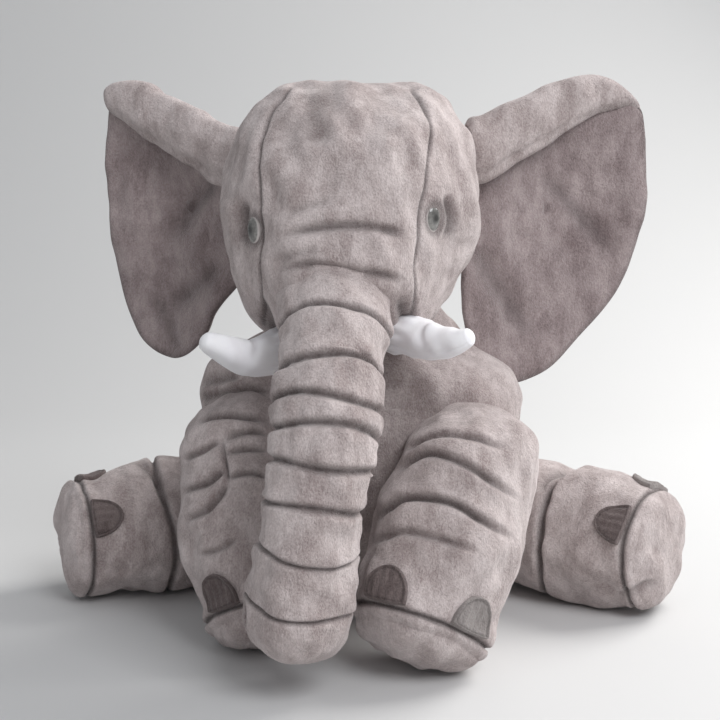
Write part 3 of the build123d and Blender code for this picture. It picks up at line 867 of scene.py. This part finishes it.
def trunk_piece(name, trunk, start, end, seed, replaced):
    """One length of the trunk from crease to crease, each end drawn in under the next length."""
    rows, turns = 190, 200
    last = end == 1.0
    angle = np.linspace(-math.pi, math.pi, turns, endpoint=False)[None]
    share = np.linspace(0, 1, rows)[:, None]
    if last:
        share = np.sin(share * math.pi / 2) ** 0.9
    low = trunk_ring(trunk, start, 0.0, angle) if start > 0 else 0.0 * angle
    high = trunk_ring(trunk, end, 0.0, angle) if not last else trunk.length + TRUNK_END + 0 * angle
    low, high = low - (TRUNK_LAP if start > 0 else 0), high + (0 if last else TRUNK_LAP)
    place = low + (high - low) * share
    girth = np.interp(place / trunk.length, *np.array(TRUNK_GIRTH).T)
    square = (np.abs(np.cos(angle - 0.25)) ** 3 + np.abs(np.sin(angle - 0.25)) ** 3) ** (-1 / 3)
    girth = girth * (1 + 0.75 * (square - 1.05) * step(0.80, 1.0, place / trunk.length))
    height = np.zeros(place.shape)
    shade_and_eye_zone = np.zeros(place.shape)
    seam = np.zeros(place.shape)
    for ring, tilt, width, depth in TRUNK_RINGS:
        middle = trunk_ring(trunk, ring, tilt if ring not in TRUNK_CUTS else 0.0, angle)
        in_front = 0.55 + 0.45 * step(-0.8, 0.4, np.cos(angle))
        puckers = 1 + 0.14 * np.sin(17 * angle + 9 * ring) * bell(place - middle, 0.010)
        change, groove = tuck(place - middle, width, depth)
        height += change * in_front * puckers
        # the lowest creases darken as seams; the others carry painted shade in their grooves
        if ring > 0.8:
            seam = np.maximum(seam, 0.8 * groove * in_front)
        else:
            shade_and_eye_zone = np.maximum(shade_and_eye_zone, groove * in_front)
    close = np.ones(place.shape)
    if start > 0:
        close = close * rounded_end((place - low) / TRUNK_LAP)
    if last:
        bottom = np.clip((place - trunk.length + 0.002) / (TRUNK_END + 0.002), 0, 1)
        close = close * np.clip(1 - bottom**3.6, 0, 1) ** 0.5
    else:
        close = close * rounded_end((high - place) / TRUNK_LAP)
    if start <= 0:
        close = close * np.sqrt(np.clip(share / 0.25, 0, 1))
    forwards, sideways = trunk.axes(place)
    spoke = np.cos(angle)[..., None] * forwards + np.sin(angle)[..., None] * sideways
    middle = trunk.at(np.minimum(place, trunk.length))
    beyond = np.maximum(place - trunk.length, 0)
    down = unit(trunk.line[-1] - trunk.line[-12])
    points = middle + beyond[..., None] * down
    bumps = 0.0016 * lumps(points + girth[..., None] * spoke, 0.060, seed)
    bumps += 0.0008 * lumps(points + girth[..., None] * spoke, 0.022, seed + 1)
    if last:
        nostril = np.hypot((place - trunk.length - 0.010) / 1.7, (angle - math.radians(46)) * 0.038)
        bumps -= 0.0075 * bell(nostril, 0.0056)
        # painted shade in the nostril hollow
        shade_and_eye_zone = np.maximum(shade_and_eye_zone, 0.8 * bell(nostril, 0.0060))
    base = points + (girth * close)[..., None] * spoke
    stitched = np.clip(np.max([1.3 * shade_and_eye_zone, 1.3 * seam, step(0.97, 0.85, close)], axis=0), 0, 1)
    grid = stuffed(name, base, stitched, most=0.0035) + ((height + bumps) * close)[..., None] * spoke
    piece = plush_piece(name, grid, ends_of(points), {"shade_and_eye_zone": shade_and_eye_zone, "seam": seam}, replaced)
    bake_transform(piece)


def build_trunk():
    trunk = Trunk()
    for name, low, high, seed, stem, carrier, joint in (
        ("upper", 0.0, TRUNK_CUTS[0], 51, "trunk_root", "head", "trunk_lift"),
        ("middle", *TRUNK_CUTS, 53, "trunk_middle", "trunk_root", "trunk_middle_curl"),
        ("lower", TRUNK_CUTS[1], 1.0, 55, "trunk_tip", "trunk_middle", "trunk_tip_curl"),
    ):
        replaced = [f"{stem}_cover", f"{stem}_stuffing"]
        trunk_piece(f"trunk_{name}_plush", trunk, low, high, seed, replaced)


# ---- ears ---------------------------------------------------------------------------
EAR_ROOTS = {"left": (-0.0981, -0.0025, 0.362), "right": (0.0819, -0.0245, 0.360)}
EAR_AIMS = {"left": (-0.88, 0.47, 0.0), "right": (0.97, 0.24, 0.0)}
EAR_CUTS = {
    "left": [(0.004, 0.112), (0.058, 0.136), (0.108, 0.148), (0.138, 0.140), (0.153, 0.108),
             (0.1585, 0.040), (0.1565, -0.022),
             (0.1500, -0.066), (0.1350, -0.106), (0.1130, -0.130), (0.0850, -0.139), (0.0620, -0.128),
             (0.0440, -0.100),
             (0.0200, -0.066), (0.002, -0.030)],
    "right": [(0.004, 0.116), (0.058, 0.142), (0.108, 0.142), (0.140, 0.122), (0.158, 0.092),
              (0.1680, 0.046), (0.1670, 0.008),
              (0.1590, -0.034), (0.1460, -0.068), (0.1250, -0.098), (0.0970, -0.127), (0.0700, -0.145),
              (0.0400, -0.153),
              (0.0160, -0.138), (0.0040, -0.100), (0.000, -0.040)],
}
ROLL_TOPS = {
    "left": [(0.0, 0.060), (0.030, 0.071), (0.060, 0.083), (0.090, 0.095), (0.120, 0.106), (0.140, 0.108),
             (0.165, 0.100)],
    "right": [(0.0, 0.064), (0.030, 0.079), (0.060, 0.093), (0.090, 0.103), (0.120, 0.107), (0.145, 0.100),
              (0.168, 0.078)],
}
ROLL_TALLS = {
    "left": [(0.0, 0.0235), (0.060, 0.0235), (0.110, 0.0190), (0.140, 0.0130), (0.165, 0.0065)],
    "right": [(0.0, 0.0235), (0.060, 0.0215), (0.110, 0.0155), (0.140, 0.0090), (0.168, 0.0050)],
}
EAR_FOLDS = {
    "left": [
        ([(-0.118, 0.160), (-0.136, 0.132), (-0.1625, 0.090)], 0.0095, 0.0080),
        ([(-0.112, 0.086), (-0.136, 0.062), (-0.1700, 0.040)], 0.0100, 0.0075),
        ([(-0.150, 0.000), (-0.158, 0.030), (-0.175, 0.060)], 0.0100, 0.0050),
        ([(-0.190, 0.170), (-0.186, 0.130), (-0.178, 0.090)], 0.0110, -0.0045),
    ],
    "right": [
        ([(0.145, 0.160), (0.178, 0.126), (0.2175, 0.080)], 0.0100, 0.0065),
        ([(0.088, 0.106), (0.116, 0.0575), (0.1475, 0.012)], 0.0110, 0.0080),
        ([(0.112, 0.160), (0.142, 0.110), (0.178, 0.050)], 0.0120, -0.0050),
        ([(0.105, 0.2185), (0.098, 0.201), (0.090, 0.185)], 0.0040, 0.0034),
    ],
}


def closed_curve(knots, count, waves=8):
    """Even points round a closed curve through a few knots, rounded off by keeping only its longest waves."""
    knots = np.array(knots)
    laps = np.vstack([knots[-2:], knots, knots[:3]])
    spans = len(laps) - 1
    line = curve_through(laps, 300 * spans + 1)[600 : 600 + 300 * len(knots)]
    outline = line[:, 0] + 1j * line[:, 1]
    travelled = np.concatenate([[0], np.cumsum(np.abs(np.diff(np.append(outline, outline[0]))))])
    spot = np.linspace(0, travelled[-1], 1024, endpoint=False)
    even = np.interp(spot, travelled, np.append(outline, outline[0]))
    tones = np.fft.fft(even)
    tones[waves + 1 : -waves] = 0
    even = np.fft.ifft(tones)
    even = np.append(even, even[0])
    spot = np.linspace(0, 1024, count, endpoint=False)
    shape = np.interp(spot, np.arange(1025), even)
    return np.stack([shape.real, shape.imag], axis=-1)


def table(knots, value):
    """Smooth reading of a table of (place, size) knots."""
    line = curve_through(knots, 300)
    return np.interp(value, line[:, 0], line[:, 1])


def ear_cloth(side, out, up):
    """The ear's flat cloth cupped and with its top edge rolled forwards: out, up and forwards in metres."""
    top = table(ROLL_TOPS[side], out)
    tall = table(ROLL_TALLS[side], out)
    thick = 0.46 * tall
    over = np.maximum(up - (top - tall), 0)
    turn = np.minimum(over / (0.5 * (tall + thick)), 1.42 * math.pi)
    rolled_up = top - tall + tall * np.sin(turn)
    rolled_forward = thick * (1 - np.cos(turn))
    height = np.where(over > 0, rolled_up, up)
    forward = np.where(over > 0, rolled_forward, 0.0)
    cup = -0.010 * np.exp(-(((out - 0.085) / 0.055) ** 2) - (((height + 0.01) / 0.085) ** 2))
    rim = 0.010 * step(0.110, 0.165, out) + 0.006 * step(-0.08, -0.15, height)
    return out, height, forward + cup + rim


def build_ear(side):
    """Two plush panels sewn at the rim: a front one in a darker copy of the plush, painted shade, and the
    back one that shows on the roll.
    """
    rows, turns = 110, 300
    root = np.array(EAR_ROOTS[side])
    aim = unit(np.array(EAR_AIMS[side]))
    facing = np.array([aim[1], -aim[0], 0.0]) * SIGN[side]
    rim_line = closed_curve(EAR_CUTS[side], turns)
    if side == "left":
        rim_line = rim_line[::-1]
    centre = np.array([0.078, 0.0])
    share = np.linspace(0.012, 1, rows)[:, None, None]
    flat = centre + share * (rim_line - centre)
    out, up, forward = ear_cloth(side, flat[..., 0], flat[..., 1])
    sheet = root + out[..., None] * aim + up[..., None] * np.array([0, 0, 1.0]) + forward[..., None] * facing
    normals = normals_of(sheet)
    if (normals[3].mean(axis=0) @ facing) < 0:
        normals = -normals
    middle = unit(normals[12].mean(axis=0))
    normals = unit_rows(normals + (middle - normals) * step(0.16, 0.02, share))
    drawing = front_drawing(sheet)
    sag = np.zeros(out.shape)
    shade_and_eye_zone = np.zeros(out.shape)
    for knots, width, depth in EAR_FOLDS[side]:
        gap, along = distance_to_curve(drawing, knots)
        fade = step(0.0, 0.3, along) * step(0.0, 0.3, 1 - along)
        sag -= depth * bell(gap, width) * fade
        # painted shade in the ear's inward creases
        shade_and_eye_zone = np.maximum(shade_and_eye_zone, (0.55 if depth > 0 else 0.0) * bell(gap, 0.7 * width) * fade)
    sag += 0.0022 * lumps(sheet, 0.070, 61) + 0.0009 * lumps(sheet, 0.026, 62)
    share = share[..., 0]
    sag = sag * step(0.0, 0.05, share)
    sheet = sheet + normals * sag[..., None]
    edge = np.sqrt(np.clip(1 - share**14, 0, 1))
    top = table(ROLL_TOPS[side], flat[..., 0])
    tall = table(ROLL_TALLS[side], flat[..., 0])
    over = (flat[..., 1] - (top - tall)) / tall
    stitched, _ = tuck((over - 2.85) * tall * 0.7, 0.0020, 0.0022)
    # darker rim seam: partly the seam line's own dark, partly painted shade in its groove
    seam = bell((1 - share) * 0.1, 0.0035) * 0.45 + 0.0 * out
    for name, way, thick, material, slot in (
        ("front", 1.0, 0.0050, SHADED_EAR_PLUSH, "ear_plush"),
        ("back", -1.0, 0.0058, GREY_PLUSH, "body_plush"),
    ):
        puff = thick * edge + (stitched * edge if way < 0 else 0.0)
        outer = sheet + normals * (way * puff)[..., None]
        inner = sheet + normals * (way * 0.0002)
        order = (inner, outer[::-1]) if way > 0 else (outer, inner[::-1])
        grid = np.vstack(order)
        marks = {"shade_and_eye_zone": np.vstack([shade_and_eye_zone, shade_and_eye_zone[::-1]]), "seam": np.vstack([seam, seam[::-1]])}
        mesh = closed_mesh(f"ear_{side}_{name}", grid, *ends_of(grid), marks)
        piece = new_piece(mesh, material, (f"ear_{side}_{name}_panel",))
        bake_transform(piece)


# ---- tusks, eyes and tail --------------------------------------------------------------
EYE_WIDE, EYE_TALL, EYE_HIGH, EYE_BACK = 0.0080, 0.0118, 0.0056, -0.004


def tapered(line, girths, rows, turns, front=(0.0, 0.0, 1.0)):
    """Round horn along a line: rows of spokes, the two ends drawn to points."""
    line = curve_through(line, rows)
    along = unit_rows(np.gradient(line, axis=0))
    sideways = unit_rows(np.cross(along, np.array(front)))
    upright = np.cross(sideways, along)
    angle = np.linspace(-math.pi, math.pi, turns, endpoint=False)
    share = np.linspace(0, 1, rows)
    girth = np.interp(share, *np.array(girths).T)
    spoke = np.cos(angle)[None, :, None] * upright[:, None] + np.sin(angle)[None, :, None] * sideways[:, None]
    return line, girth, spoke, share[:, None], angle[None]


TUSK_LINES = {
    "left": [(-0.058, -0.090, 0.254), (-0.073, -0.105, 0.243), (-0.094, -0.121, 0.2415),
             (-0.113, -0.135, 0.250), (-0.1265, -0.1425, 0.2575)],
    "right": [(0.014, -0.092, 0.262), (0.031, -0.108, 0.260), (0.052, -0.128, 0.2545),
              (0.069, -0.145, 0.256), (0.0825, -0.1545, 0.2615)],
}
TUSK_GIRTH = [(0.0, 0.016), (0.2, 0.0178), (0.45, 0.0152), (0.72, 0.0112), (0.90, 0.0082), (0.96, 0.0066),
              (0.99, 0.0038), (1.0, 0.0008)]


def build_tusk(side):
    """White stuffed tusk, curved up to a blunt tip, with puckers where it is sewn on and a seam along it."""
    line, girth, spoke, share, angle = tapered(TUSK_LINES[side], TUSK_GIRTH, 120, 96)
    pucker = 0.0011 * np.sin(11 * angle + 3 * share) * step(0.45, 0.15, share)
    kink, dent = tuck((share - 0.52) * 0.09 + 0.004 * np.cos(angle), 0.0032, 0.0012)
    seam_gap = np.abs(np.angle(np.exp(1j * (angle - 2.2)))) * 0.013
    stitch = -0.0007 * bell(seam_gap, 0.0012)
    top = step(-0.3, 0.6, np.cos(angle))
    points = line[:, None] + (girth[:, None] + pucker + kink * top + stitch)[..., None] * spoke
    points += (0.0006 * lumps(points, 0.020, 71))[..., None] * spoke
    gathers = 0.5 - 0.5 * np.sin(11 * angle + 3 * share)
    # painted shade in the kink's dent and between the gathers at the root
    shade_and_eye_zone = np.clip(0.5 * dent * top + 0.55 * step(0.30, 0.12, share) * gathers, 0, 1)
    marks = {"shade_and_eye_zone": shade_and_eye_zone + 0 * angle, "seam": bell(seam_gap, 0.0012) + 0 * share}
    mesh = closed_mesh(f"tusk_{side}", points, line[0], line[-1], marks)
    replaced = (f"tusk_{side}_cover", f"tusk_{side}_stuffing")
    new_piece(mesh, TUSK_CLOTH, replaced, body="head")


def eye_place(side):
    """Where an eye sits on the head, and which way it looks, from its place on the front drawing."""
    spot = np.array(EYE_SPOTS[side])
    ray = unit(AHEAD + spot[0] * RIGHTWARDS + spot[1] * UPWARDS)
    reach = np.linspace(0.7, 1.1, 4000)
    inside = swelling(EYE_LEVEL + reach[:, None] * ray, HEAD_BALLS, HEAD_MELT) < 0
    spot = EYE_LEVEL + reach[np.argmax(inside)] * ray
    nudge = 0.002
    nudges = (nudge * np.eye(3), -nudge * np.eye(3))
    ahead, behind = (swelling(spot + shift, HEAD_BALLS, HEAD_MELT) for shift in nudges)
    return spot, unit(ahead - behind)


def build_eye(side):
    """Glossy eye: a low oval dome set in the head, its marks telling how far out each point is."""
    place, out = eye_place(side)
    centre = place - 0.0052 * out
    up = unit(np.array([0, 0, 1.0]) - out * out[2])
    angle = np.linspace(0, 2 * math.pi, 72, endpoint=False)[None]
    inwards = np.linspace(1, 0.02, 34)
    share = np.concatenate([np.linspace(0.05, 1, 8), inwards])[:, None]
    lift = np.concatenate([np.full(8, EYE_BACK), EYE_HIGH * np.sqrt(1 - inwards**2)])[:, None]
    ring = np.cos(angle)[..., None] * np.cross(up, out) * EYE_WIDE + np.sin(angle)[..., None] * up * EYE_TALL
    points = centre + share[..., None] * ring + (lift + 0 * angle)[..., None] * out
    marks = {"shade_and_eye_zone": share + 0 * angle, "seam": 0 * share * angle}
    mesh = closed_mesh(f"eye_{side}_glass", points, centre + EYE_BACK * out, centre + EYE_HIGH * out, marks)
    new_piece(mesh, EYE_GLASS, (f"eye_{side}",), body="head")


def build_tail():
    """Thin plush tail with a brushed tuft of soft lobes at its end."""
    line, girth, spoke, share, angle = tapered(
        [
            (0.0069, 0.205, 0.180), (0.0069, 0.222, 0.168), (0.0069, 0.240, 0.135),
            (0.0069, 0.247, 0.098), (0.0069, 0.2475, 0.078),
        ],
        [(0, 0.0085), (0.62, 0.0066), (0.70, 0.0062), (0.80, 0.0098), (0.90, 0.0096), (0.97, 0.0055),
         (1.0, 0.0006)],
        130, 96, front=(0.0, 1.0, 0.0),
    )
    tuft = step(0.66, 0.80, share)
    strands = 0.0014 * tuft * np.sin(9 * angle + 7 * share) + 0.0006 * tuft * np.sin(23 * angle - 9 * share)
    ring, groove = tuck((share - 0.68) * 0.13, 0.0016, 0.0016)
    points = line[:, None] + (girth[:, None] + strands * step(1.0, 0.94, share) + ring)[..., None] * spoke
    points += (0.0005 * lumps(points, 0.016, 81))[..., None] * spoke
    between = 0.5 - 0.5 * np.sin(9 * angle + 7 * share)
    # painted shade in the ring groove and between the tuft's strands
    marks = {"shade_and_eye_zone": np.clip(groove + 0.5 * tuft * between, 0, 1), "seam": 0 * share * angle}
    replaced = ("tail_cover", "tail_stuffing")
    plush_piece("tail_plush", points, (line[0], line[-1]), marks, replaced, "tail")


build_legs()
build_head()
build_torso()
build_trunk()
for side in SIDES:
    build_ear(side)
    build_tusk(side)
    build_eye(side)
build_tail()


# ---- stage, light and camera -----------------------------------------------------
def build_stage():
    """Floor that curves up behind into a pale wall, as one smoothly swept sheet."""
    turn = np.linspace(0, math.pi / 2, 40)
    depth = np.concatenate([[-14.0], 1.0 + 1.2 * np.sin(turn), [2.2]])
    height = np.concatenate([[0.0], 1.2 - 1.2 * np.cos(turn), [9.0]])
    width = np.linspace(-14.0, 14.0, 3)
    points = np.array([(x, y, z) for y, z in zip(depth, height) for x in width])
    corners = [3 * k + c for k in range(len(depth) - 1) for c in range(2)]
    faces = [(c, c + 1, c + 4, c + 3) for c in corners]
    mesh = bpy.data.meshes.new("floor")
    mesh.from_pydata(points.tolist(), [], faces)
    mesh.polygons.foreach_set("use_smooth", np.ones(len(faces), bool))
    floor = bpy.data.objects.new("floor", mesh)
    bpy.context.scene.collection.objects.link(floor)
    mesh.materials.append(Shades("pale_floor").surface(Base_Color=(0.66, 0.66, 0.66), Roughness=0.8))


def area_light(name, place, target, size, power, colour):
    lamp = bpy.data.lights.new(name, "AREA")
    lamp.shape = "RECTANGLE"
    lamp.size, lamp.size_y = size
    lamp.energy = power
    lamp.color = colour
    light = bpy.data.objects.new(name, lamp)
    bpy.context.scene.collection.objects.link(light)
    light.location = place
    light.rotation_euler = (Vector(target) - Vector(place)).to_track_quat("-Z", "Y").to_euler()


def build_light():
    world = bpy.data.worlds.new("studio")
    world.use_nodes = True
    sky = world.node_tree.nodes["Background"]
    sky.inputs["Color"].default_value = (0.95, 0.97, 1.0, 1)
    sky.inputs["Strength"].default_value = 0.44
    bpy.context.scene.world = world
    bpy.context.scene.view_settings.view_transform = "Standard"
    area_light("window", (1.45, 0.75, 1.55), (0, 0, 0.22), (1.3, 1.3), 45, (1.0, 0.985, 0.96))
    area_light("front_fill", (1.0, -1.5, 1.7), (0, 0, 0.22), (1.2, 1.1), 26, (0.97, 0.98, 1.0))


def build_camera():
    """Level-eyed view from in front, tipped down a little and turned to centre the elephant."""
    view = bpy.data.cameras.new("front_view")
    view.lens = 60
    view.sensor_width = 36
    camera = bpy.data.objects.new("front_view", view)
    bpy.context.scene.collection.objects.link(camera)
    camera.location = EYE_LEVEL
    camera.rotation_euler = (math.pi / 2 - TIP_DOWN, 0, TURN)
    bpy.context.scene.camera = camera


build_stage()
build_light()
build_camera()
